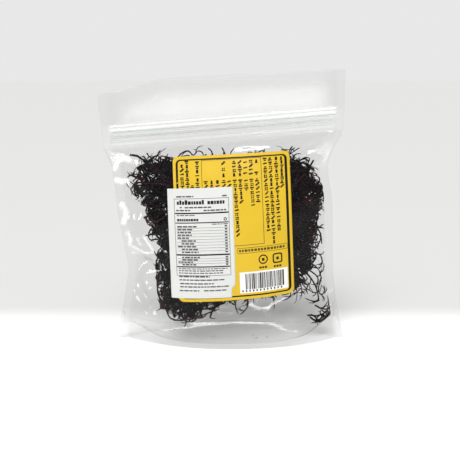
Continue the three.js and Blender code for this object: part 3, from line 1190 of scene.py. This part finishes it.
def turned(vectors, axes, angles):
    angles = angles[:, None]
    along = (vectors * axes).sum(1, keepdims=True)
    return (vectors * np.cos(angles) + np.cross(axes, vectors) * np.sin(angles)
            + axes * along * (1 - np.cos(angles)))


def keptInside(points):
    # between the side welds and the front and the back film, and above the base
    across, depth, height = points.T
    margin = pouch["sealWidth"] + strand["clear"]
    across = np.clip(across, levelValue(1, height) + margin, levelValue(2, height) - margin)
    share = np.clip(depth / strand["baseHalf"], -1, 1)
    height = np.maximum(height, gussetHeight(across, share) + strand["above"])
    front = np.maximum(frontFilm(across, height) - strand["clear"], 0.2)
    back = np.maximum(backFilm(across, height) - strand["clear"], 0.2)
    return np.stack((across, np.clip(depth, -front, back), height), 1)


def walked(random, start, heading, steps, curl, reach):
    # reach is how far outside the heap's outline each strand may go
    path = [keptInside(start)]
    axes = unit(random.normal(size=start.shape))
    turning = random.normal(0, curl)
    pace = strand["step"] * random.uniform(0.65, 1.2, (len(start), 1))
    for _ in range(steps):
        axes = unit(axes + random.normal(0, 0.25, start.shape))
        turning = 0.85 * turning + random.normal(0, 0.6 * curl)
        heading = turned(heading, axes, turning)
        heading[:, 1] *= strand["flat"]
        here = path[-1]
        outside = np.clip(-heapInset(here[:, 0], here[:, 2]) - reach, 0, 4)
        home = unit(heapMiddle - here)
        heading = unit(unit(heading) + strand["homing"] * outside[:, None] * home)
        ahead = here + heading * pace
        kept = keptInside(ahead)
        heading = unit(heading + strand["bend"] * (kept - ahead) / pace)
        path.append(kept)
    return np.stack(path, 1)


def forked(random, run, orders, curl, stout, tint, reach):
    # branches grow from the given strands, and branches from those
    paths, sizes, tints = [], [], []
    for order, after in zip(orders, orders[1:] + (None,)):
        steps = run.shape[1]
        thick = np.linspace(order["root"], order["tip"], steps) * stout[:, None]
        thick = thick * random.lognormal(0, 0.13, (len(run), steps))
        thick[:, -1] *= 0.5
        paths += list(run)
        sizes += list(thick)
        tints += list(np.repeat(tint[:, None], steps, 1))
        if after is None:
            break
        parent = np.repeat(np.arange(len(run)), order["branches"])
        at = random.integers(steps // 4, steps, len(parent))
        start = run[parent, at]
        along = unit(start - run[parent, at - 1])
        axes = unit(np.cross(along, random.normal(size=along.shape) * (0.4, 1, 0.4)))
        heading = turned(along, axes, random.uniform(0.5, 1.15, len(parent)))
        tint, curl, stout, reach = tint[parent], curl[parent], stout[parent], reach[parent]
        run = walked(random, start, heading, after["steps"], curl, reach)
    return paths, sizes, tints


tuft = {
    "inset": (1, 11),  # how far inside the heap's edge tufts start
    "hidden": (7, 0.12),  # this far in behind the papers, only this share of them is kept
    "clumps": (0.5, 0.7, 17),  # mean, unevenness and size of the clumps
    "share": (0.5, 0.95),  # of the way out to the film
    "stout": (0.75, 1.35),
    "reach": (-3.5, 5),  # least, and how much more at most
}
tintPower = 7  # the higher, the fewer strands are red


def tangle(seed, count, side):
    # strands that start on one side of the heap, fork, and keep to the heap
    random = np.random.default_rng(seed)
    tries = random.uniform(*heapField, (count * 20, 2))
    chance = heapInset(*tries.T) > random.uniform(*tuft["inset"], len(tries))
    if side < 0:
        deep, kept = tuft["hidden"]
        edge = np.minimum(fromPaper(label, *tries.T), fromPaper(sticker, *tries.T))
        chance &= (edge > -deep) | (random.random(len(tries)) < kept)
    mean, uneven, size = tuft["clumps"]
    clumped = mean + uneven * waves(70 + side, *tries.T, size)
    tries = tries[chance & (random.random(len(tries)) < clumped)][:count]
    depth = side * random.uniform(*tuft["share"], len(tries)) * filmLimit(side, *tries.T)
    start = np.stack((tries[:, 0], depth, tries[:, 1]), 1)
    angle = random.uniform(0, math.tau, len(start))
    heading = np.stack((np.cos(angle), random.normal(0, 0.3, len(start)), np.sin(angle)), 1)
    curl = strand["curl"] * random.lognormal(0, 0.5, len(start))
    stout = random.uniform(*tuft["stout"], len(start))
    least, more = tuft["reach"]
    reach = more * random.random(len(start)) ** 2 + least
    run = walked(random, start, unit(heading), tangleOrders[0]["steps"], curl, reach)
    tint = random.random(len(start)) ** tintPower
    return forked(random, run, tangleOrders, curl, stout, tint, reach)


def filmLimit(side, across, height):
    return np.maximum((frontFilm if side < 0 else backFilm)(across, height) - strand["clear"], 0.2)


antler = {
    "seed": 107,
    "count": 240,
    "inset": (1, 6),
    "share": 0.95,  # of the way to the front or back film, at most
    "spread": 0.45,
    "curl": 0.10,
    "stout": (0.75, 1.25),
    "reach": (-1, 5),
}


def antlers(seed, count):
    # stiff forked ends that stand out all round the heap
    random = np.random.default_rng(seed)
    tries = random.uniform(*heapField, (count * 30, 2))
    inset = heapInset(*tries.T)
    least, most = antler["inset"]
    tries = tries[(inset > least) & (inset < most)][:count]
    outward = np.stack([heapInset(*(tries - step).T) - heapInset(*(tries + step).T)
                        for step in ((1, 0), (0, 1))], 1)
    share = random.uniform(-antler["share"], antler["share"], len(tries))
    depth = np.where(share < 0, filmLimit(-1, *tries.T), filmLimit(1, *tries.T)) * share
    start = np.stack((tries[:, 0], depth, tries[:, 1]), 1)
    heading = np.stack((outward[:, 0], 0 * share, outward[:, 1]), 1)
    heading = unit(unit(heading) + random.normal(0, antler["spread"], start.shape) * (1, 0.6, 1))
    curl = antler["curl"] * random.lognormal(0, 0.6, len(start))
    stout = random.uniform(*antler["stout"], len(start))
    reach = random.uniform(*antler["reach"], len(start))
    run = walked(random, start, heading, antlerOrders[0]["steps"], curl, reach)
    tint = random.random(len(start)) ** tintPower
    return forked(random, run, antlerOrders, curl, stout, tint, reach)


# The strands that show singly, by their part of the heap: share of the way to the front film,
# thickness against the others', depth in the standing pouch, and places along each in the
# photograph's pixels. An inner end that is hidden in the heap follows, as across and height.
longStrands = {
    "left": (
        (0.9, 1.3, -9, ((129.5, 155.5), (136.5, 156.5), (143, 160.5), (149, 165.5)), (-50, 129)),
        (0.9, 1.1, -10, ((130.5, 175.5), (135, 177.5), (140, 178.5)), (-55, 121)),
        (0.8, 1.0, -10, ((136.5, 168), (139, 171), (138, 174.5)), (-58, 124)),
        (0.9, 0.9, -14, ((140, 202.5), (145, 204.5), (147.5, 203)), (-53, 105)),
        (0.8, 0.9, -15, ((150.5, 213.5), (152.5, 217), (151.5, 222)), (-50, 91)),
        (0.8, 0.9, -16, ((156, 230.5), (158, 234.5), (162, 237.5)), (-44, 84)),
        (0.9, 0.8, -17, ((160, 240), (157, 243), (161.5, 246)), (-44, 75)),
        (0.9, 1.0, -20, ((158, 258), (155.5, 264), (155.5, 272)), (-48, 55)),
    ),
    "bottom": (
        (0.9, 1.2, -24, ((158.5, 276), (156.5, 291), (158, 298.5), (164, 307), (167, 314),
                         (169.5, 319.5), (177.5, 321.5), (187, 319.5), (203, 314), (219.5, 308))),
        (0.9, 1.0, -24, ((167, 314), (171.5, 308), (176.5, 303.5), (184, 299))),
        (0.8, 1.0, -24, ((174, 320), (175.5, 313), (181, 308), (188, 305))),
        (0.9, 1.0, -25, ((212.5, 311), (219.5, 303.5), (226, 298))),
        (0.8, 1.0, -25, ((190, 319), (197, 310), (205, 305), (212, 300))),
        (0.8, 1.3, -25, ((214, 302), (220, 300.5), (234.5, 301.5), (248.5, 298.5), (266, 294.5),
                         (286, 298))),
        (0.9, 0.9, -25, ((244, 296), (248, 301.5), (247.5, 307), (244, 312), (240, 315))),
    ),
    "top": (
        (0.9, 0.8, -6, ((147, 153.5), (149, 156), (152, 157.5), (156.5, 155.5), (160.5, 150))),
        (0.9, 0.7, -6, ((155, 160), (158, 155.5), (160.5, 158.5), (165.5, 158.5), (168, 153.5))),
        (0.9, 0.9, -5, ((178, 157), (181, 153.5), (188.5, 151), (193.5, 155), (198, 151),
                        (202, 152), (203.5, 156))),
        (0.9, 0.8, -5, ((208.5, 148.5), (211, 150.5)), (-13, 135)),
        (0.9, 0.8, -5, ((222, 148), (223.5, 151)), (-5.5, 134)),
        (0.9, 0.7, -5, ((234.5, 148.5), (231.5, 151.5)), (-1, 134)),
        (0.9, 0.7, -5, ((266, 148), (264, 151.5)), (22, 132)),
        (0.9, 0.8, -6, ((293, 147.5), (290.5, 151)), (40, 130)),
        (0.9, 0.7, -6, ((295.5, 149), (292, 152), (289, 158))),
    ),
    "right": (
        (0.9, 1.1, -8, ((315.5, 162.5), (312, 168), (307, 173.5)), (47, 114)),
        (0.8, 0.9, -8, ((295, 166), (299.5, 164.5), (308, 165.5), (312, 169.5), (310, 175))),
        (0.8, 1.1, -9, ((302, 172), (308, 173.5), (313, 177.5), (314.5, 183.5), (304, 192))),
        (0.9, 0.9, -14, ((304, 212), (314, 205), (320, 203), (323, 200))),
        (0.9, 0.8, -15, ((306, 218), (314, 213), (321, 212), (325, 207))),
        (0.9, 1.2, -18, ((312, 214), (321.5, 222), (319.5, 228), (320.5, 234.5), (323.5, 240),
                         (325.5, 252))),
        (0.9, 1.0, -18, ((320.5, 234.5), (317.5, 242), (314, 250), (306, 254))),
        (0.9, 1.0, -20, ((306, 262), (315.5, 262), (321.5, 261.5), (325, 266), (325.5, 272.5),
                         (322.5, 277))),
        (0.9, 1.0, -21, ((300, 262), (308, 267), (314, 271), (319.5, 275.5), (323.5, 281.5),
                         (324, 286))),
        (0.9, 1.2, -22, ((298, 268), (306, 276.5), (312, 284), (316.5, 291), (319.5, 297.5),
                         (322.5, 310))),
        (0.8, 1.0, -21, ((302, 270), (309, 275.5), (315.5, 280.5), (321.5, 288), (320, 297),
                         (321, 304))),
        (0.9, 0.9, -21, ((325, 287.5), (322.5, 294), (323, 303.5), (326, 306))),
        (0.9, 0.8, -23, ((298, 282), (304, 290), (308, 295.5), (316.5, 302.5))),
        (0.9, 0.8, -23, ((297, 284), (302.5, 291), (304, 297.5), (307, 301.5))),
        (0.8, 0.8, -24, ((290, 284), (294.5, 291), (298.5, 296))),
    ),
}
# The small nest that has dropped into the right corner of the base: four strands read off the
# photograph in the same way, and three among them as across and height.
nestRead = (
    (0.7, 1.0, -18, ((309, 316), (316.5, 318.5), (320.5, 322.5), (329, 324.5), (333, 320.5),
                     (330, 314))),
    (0.7, 1.1, -18, ((317.5, 308), (323.5, 312), (330, 313), (336.5, 311))),
    (0.6, 1.0, -18, ((313, 317), (318, 318.5), (325.5, 317.5), (331, 315), (333, 318))),
    (0.7, 0.9, -18, ((316, 321.5), (321.5, 323.5), (326, 322), (331, 319.5))),
)
nestAdded = (
    (0.6, 1.1, ((57.5, 18.5), (60, 16.5), (65, 14.5), (68.5, 14), (71.5, 15))),
    (0.7, 1.0, ((63, 17.5), (66.5, 19), (69, 17), (67.5, 15), (64.5, 15.5))),
    (0.6, 0.9, ((67, 21), (70, 19), (72, 16), (69.5, 14.5))),
)
single = {"seed": 109, "curl": 0.14, "reach": 9, "wander": 0.18}  # wander is in and out, mm a step


def readStrand(share, thick, depth, pixels, *inner):
    return share, thick, (*readOff(pixels, depth), *inner)


def evenCurve(places, steps):
    # a smooth curve through the places, with points an even way apart
    places = np.array(places, float)
    along = np.append(0, np.cumsum(np.linalg.norm(np.diff(places, axis=0), axis=1)))
    pull = np.gradient(places, along, axis=0)
    at = np.linspace(0, along[-1], steps + 1)
    index = np.clip(np.searchsorted(along, at) - 1, 0, len(along) - 2)
    span = (along[index + 1] - along[index])[:, None]
    share = (at - along[index])[:, None] / span
    return between(places[index], places[index + 1], pull[index], pull[index + 1], share, span)


def singled(random, strands, curl, reach):
    # strands along chosen places near the front film, with short branches
    runs = []
    for share, _, places in strands:
        across, height = evenCurve(places, longOrders[0]["steps"]).T
        wander = np.cumsum(random.normal(0, single["wander"], len(across)))
        depth = wander - share * filmLimit(-1, across, height)
        runs.append(keptInside(np.stack((across, depth, height), 1)))
    count = len(strands)
    stout = np.array([thick for _, thick, _ in strands])
    return forked(random, np.stack(runs), longOrders, np.full(count, curl), stout,
                  random.random(count) ** 2, np.full(count, float(reach)))


loose = {
    "seed": 77,
    "nestDrop": 3,  # mm that the nest lies below the places it is given
    "nestCurl": 0.3,
    "nestReach": 40,
    "crumbs": 9,
    "crumbAcross": (-66, 74),
    "crumbShare": 0.85,  # of the way from the middle to the front or back film
    "crumbLevel": 8.0,
    "crumbAbove": 0.7,  # the base film
    "crumbLength": (0.8, 2.4),
    "crumbThick": (0.22, 0.4),
}


def looseBits():
    # the nest in the right corner of the base, and crumbs along the bottom
    random = np.random.default_rng(loose["seed"])
    strands = [readStrand(*row) for row in nestRead] + list(nestAdded)
    nest = [(share, thick, np.array(places) - (0, loose["nestDrop"])) for share, thick, places in strands]
    grown = singled(random, nest, loose["nestCurl"], loose["nestReach"])
    paths, sizes, tints = (list(part) for part in grown)
    for _ in range(loose["crumbs"]):
        across = random.uniform(*loose["crumbAcross"])
        share = random.uniform(-loose["crumbShare"], loose["crumbShare"])
        limit = filmLimit(-1 if share < 0 else 1, np.array(across), np.array(loose["crumbLevel"]))
        middle = np.array((across, share * (limit - 1), gussetHeight(across, share) + loose["crumbAbove"]))
        run = random.normal(0, 1, 3) * (1, 0.6, 0.25)
        run *= random.uniform(*loose["crumbLength"]) / np.linalg.norm(run) / 2
        bend = random.normal(0, 0.2, 3) * (1, 1, 0.3)
        paths.append(np.stack((middle - run, middle + bend, middle + run)))
        sizes.append(random.uniform(*loose["crumbThick"]) * np.array((0.8, 1, 0.6)))
        tints.append(np.full(3, random.random() ** 2))
    return paths, sizes, tints


def seaweedPiece(name, grown, material):
    paths, sizes, tints = grown
    settled = [settle(path[:, 0], path[:, 1], path[:, 2]) for path in paths]
    return sweptTubes(name, settled, sizes, material, strand["sides"], tints)


# name, seed, tufts and side of each piece
seaweedPieces = (
    ("seaweed_front_a", 101, 150, -1),
    ("seaweed_front_b", 102, 150, -1),
    ("seaweed_back_a", 104, 160, 1),
    ("seaweed_back_b", 105, 160, 1),
)


def seaweedMaterial(name, dark, red):
    # Dried gloiopeltis: a leathery alga shrunk to wire, near black with a plum cast. Some
    # strands dry to red-brown, and the drawn skin has a low waxy sheen.
    material, tree = newMaterial(name)
    place = addNode(tree, "ShaderNodeTexCoord")
    tint = addNode(tree, "ShaderNodeAttribute", {"attribute_name": "tint"})
    patch = addNode(tree, "ShaderNodeTexNoise", {"Scale": 70.0, "Detail": 2.0},
                    {"Vector": place.outputs["Object"]})
    share = addNode(tree, "ShaderNodeMath", {"operation": "MULTIPLY"},
                    {0: tint.outputs["Fac"], 1: patch.outputs["Fac"]})
    colour = addNode(tree, "ShaderNodeMix",
                     {"data_type": "RGBA", 6: hexColour(dark), 7: hexColour(red)},
                     {0: share.outputs[0]})
    # wrinkles along the dried skin, about 0.8 mm
    skin = addNode(tree, "ShaderNodeTexNoise", {"Scale": 1200.0, "Detail": 3.0},
                   {"Vector": place.outputs["Object"]})
    bump = addNode(tree, "ShaderNodeBump", {"Strength": 0.5, "Distance": 0.0003},
                   {"Height": skin.outputs["Fac"]})
    shader = addNode(tree, "ShaderNodeBsdfPrincipled",
                     {"Roughness": 0.44, "IOR": 1.45, "Specular IOR Level": 0.2},
                     {"Base Color": colour.outputs[2], "Normal": bump.outputs["Normal"]})
    addNode(tree, "ShaderNodeOutputMaterial", {}, {"Surface": shader.outputs[0]})
    return material


# ---- build

filmFinish = filmMaterial()
zipFinish = zipMaterial()
seaweedFinish = seaweedMaterial("driedGloiopeltisStrands", "#09080c", "#4c2127")
coreFinish = seaweedMaterial("driedGloiopeltisCore", "#09080b", "#09080b")
yellowPaper = paperMaterial("coatedYellowLabelPaper", "#d9b62b", "#d3ae22", 0.36)
whitePaper = paperMaterial("coatedWhiteStickerPaper", "#d4d5d2", "#cfd0cc", 0.42)
blackInk = inkMaterial("blackOffsetInk", "#1f1c12", "#191710")
brownInk = inkMaterial("brownOffsetInk", "#55481f", "#4b3f1b")
greyInk = inkMaterial("greyOffsetInk", "#4b4b4a", "#424241")
whiteInk = inkMaterial("whiteOffsetInk", "#eeeeec", "#e9e9e6")

placed(filmPanel("film_front", -1, filmFinish), "film", "pouch")
placed(filmPanel("film_back", 1, filmFinish), "film")
placed(gussetFilm("film_gusset", filmFinish), "film")
print("film made")

placed(zipTracks("zip_front", -1, zipFinish), "film")
placed(zipTracks("zip_back", 1, zipFinish), "film")
placed(zipBeads("zip_beads", zipFinish), "film")
print("zip made")

placed(paperSheet("label_paper", label, yellowPaper), "label_paper", "label")
placed(paperSheet("sticker_sheet", sticker, whitePaper, stickerNick), "sticker_paper", "sticker")
for printed in printLabel(blackInk, brownInk, whiteInk):
    placed(printed, "label_paper")
for printed in printSticker(blackInk, greyInk):
    placed(printed, "sticker_paper")
print("papers made")

placed(seaweedCore(coreFinish), "film")
for name, seed, count, side in seaweedPieces:
    placed(seaweedPiece(name, tangle(seed, count, side), seaweedFinish), "film")
grown = antlers(antler["seed"], antler["count"])
placed(seaweedPiece("seaweed_antlers", grown, seaweedFinish), "film")
readStrands = [readStrand(*row) for part in longStrands.values() for row in part]
singles = singled(np.random.default_rng(single["seed"]), readStrands, single["curl"], single["reach"])
placed(seaweedPiece("seaweed_singles", singles, seaweedFinish), "film")
placed(seaweedPiece("seaweed_loose", looseBits(), seaweedFinish), "film")
for piece in bpy.data.objects:
    if piece.name.startswith("seaweed"):
        print(piece.name, sum(len(p.vertices) - 2 for p in piece.data.polygons), "triangles")

# ---- stage, light and camera

stageSettings = {
    "floorSize": 8.0,
    # white under and before the pouch, and grey behind it and far off: painted shade, as grey as the
    # backdrop
    "floorNear": "#fdfdfc",
    "floorFar": "#dadad9",
    "behind": (0.022, 0.075),  # metres along Y over which the floor turns grey
    "farOff": (0.5, 2.4),  # and metres from the pouch
    "backdrop": 0.81,
    "ambient": 0.60,
    "reflected": 0.05,
    "floorReflected": 0.16,  # share of the floor's brightness that shows in reflections
}


def makeFloor():
    half = stageSettings["floorSize"] / 2 / mm
    material, tree = newMaterial("studioFloorPaintedShade")
    path = addNode(tree, "ShaderNodeLightPath")
    fade = addNode(tree, "ShaderNodeMath",
                   {"operation": "MULTIPLY", 1: 1 - stageSettings["floorReflected"]},
                   {0: path.outputs["Is Glossy Ray"]})
    place = addNode(tree, "ShaderNodeTexCoord")
    parts = addNode(tree, "ShaderNodeSeparateXYZ", {}, {0: place.outputs["Object"]})
    away = addNode(tree, "ShaderNodeVectorMath", {"operation": "LENGTH"},
                   {0: place.outputs["Object"]})
    shares = []
    for (low, high), value in ((stageSettings["behind"], parts.outputs["Y"]),
                               (stageSettings["farOff"], away.outputs["Value"])):
        share = addNode(tree, "ShaderNodeMapRange",
                        {"interpolation_type": "SMOOTHSTEP", "From Min": low, "From Max": high},
                        {"Value": value})
        shares.append(share.outputs["Result"])
    grey = addNode(tree, "ShaderNodeMath", {"operation": "MAXIMUM"}, {0: shares[0], 1: shares[1]})
    # the floor's grey behind the pouch and far off is painted shade
    colour = addNode(tree, "ShaderNodeMix",
                     {"data_type": "RGBA", 6: hexColour(stageSettings["floorNear"]),
                      7: hexColour(stageSettings["floorFar"])}, {0: grey.outputs[0]})
    shader = addNode(tree, "ShaderNodeBsdfDiffuse", {}, {"Color": colour.outputs[2]})
    dark = addNode(tree, "ShaderNodeBsdfDiffuse", {"Color": (0, 0, 0, 1)})
    mixed = addNode(tree, "ShaderNodeMixShader", {},
                    {0: fade.outputs[0], 1: shader.outputs[0], 2: dark.outputs[0]})
    addNode(tree, "ShaderNodeOutputMaterial", {}, {"Surface": mixed.outputs[0]})
    corners = ((-half, -half, 0), (half, -half, 0), (half, half, 0), (-half, half, 0))
    floor = meshObject("floor", corners, ((0, 1, 2, 3),), material)


def makeWorld():
    # the camera sees a pale backdrop, and the pouch is lit by a dimmer one
    world = bpy.data.worlds.new("studio")
    world.use_nodes = True
    tree = world.node_tree
    tree.nodes.clear()
    path = addNode(tree, "ShaderNodeLightPath")
    seen = addNode(tree, "ShaderNodeBackground",
                   {"Color": (1, 1, 1, 1), "Strength": stageSettings["backdrop"]})
    lit = addNode(tree, "ShaderNodeBackground",
                  {"Color": (1, 1, 1, 1), "Strength": stageSettings["ambient"]})
    dim = addNode(tree, "ShaderNodeBackground",
                  {"Color": (1, 1, 1, 1), "Strength": stageSettings["reflected"]})
    unseen = addNode(tree, "ShaderNodeMixShader", {},
                     {0: path.outputs["Is Glossy Ray"], 1: lit.outputs[0], 2: dim.outputs[0]})
    both = addNode(tree, "ShaderNodeMixShader", {},
                   {0: path.outputs["Is Camera Ray"], 1: unseen.outputs[0], 2: seen.outputs[0]})
    addNode(tree, "ShaderNodeOutputWorld", {}, {"Surface": both.outputs[0]})
    bpy.context.scene.world = world


# Lamps: name, place and size in metres, watts, and whether they light surfaces. One that does
# makes no highlights, and the others make nothing else.
lamps = (
    ("overheadBox", (-0.15, -0.55, 1.0), (0.5, 0.14), 1.0, True),
    ("leftCard", (-0.85, -0.35, 0.5), (0.34, 1.0), 5.5, False),
    ("frontCard", (0.25, -0.6, 0.75), (0.3, 0.1), 1.2, False),
    ("rearCard", (0.1, 0.75, 0.7), (0.5, 0.12), 2.0, False),
    ("lowCard", (0.0, -0.75, 0.03), (0.7, 0.016), 0.18, False),
)
sun = {"strength": 2.15, "spread": 40, "tilt": (38, -10)}


def makeLights():
    aim = Vector((0, 0, 0.09))
    for name, place, size, power, lighting in lamps:
        data = bpy.data.lights.new(name, "AREA")
        data.shape = "RECTANGLE"
        data.size, data.size_y = size
        data.energy = power
        lamp = bpy.data.objects.new(name, data)
        lamp.location = place
        lamp.rotation_euler = (aim - Vector(place)).to_track_quat("-Z", "Y").to_euler()
        lamp.visible_diffuse = lighting
        lamp.visible_glossy = not lighting
        lamp.visible_camera = False
        bpy.context.collection.objects.link(lamp)
    data = bpy.data.lights.new("skylight", "SUN")
    data.energy = sun["strength"]
    data.angle = math.radians(sun["spread"])
    lamp = bpy.data.objects.new("skylight", data)
    lamp.rotation_euler = [math.radians(a) for a in (*sun["tilt"], 0)]
    lamp.visible_glossy = False
    bpy.context.collection.objects.link(lamp)


def makeCamera():
    pitch = math.radians(view["pitch"])
    target = Vector(view["target"]) * mm
    back = Vector((0, -math.cos(pitch), math.sin(pitch)))
    data = bpy.data.cameras.new("camera")
    data.sensor_width = view["sensor"]
    data.lens = view["sensor"] / 2 / math.tan(math.radians(view["fieldOfView"] / 2))
    data.clip_start = 0.01
    camera = bpy.data.objects.new("camera", data)
    camera.location = target + back * view["distance"] * mm
    camera.rotation_euler = (math.pi / 2 - pitch, 0, 0)
    bpy.context.collection.objects.link(camera)
    bpy.context.scene.camera = camera


makeFloor()
makeWorld()
makeLights()
makeCamera()
scene = bpy.context.scene
scene.view_settings.view_transform = "Standard"
scene.cycles.use_denoising = True
scene.cycles.transparent_max_bounces = 48
print("stage set")
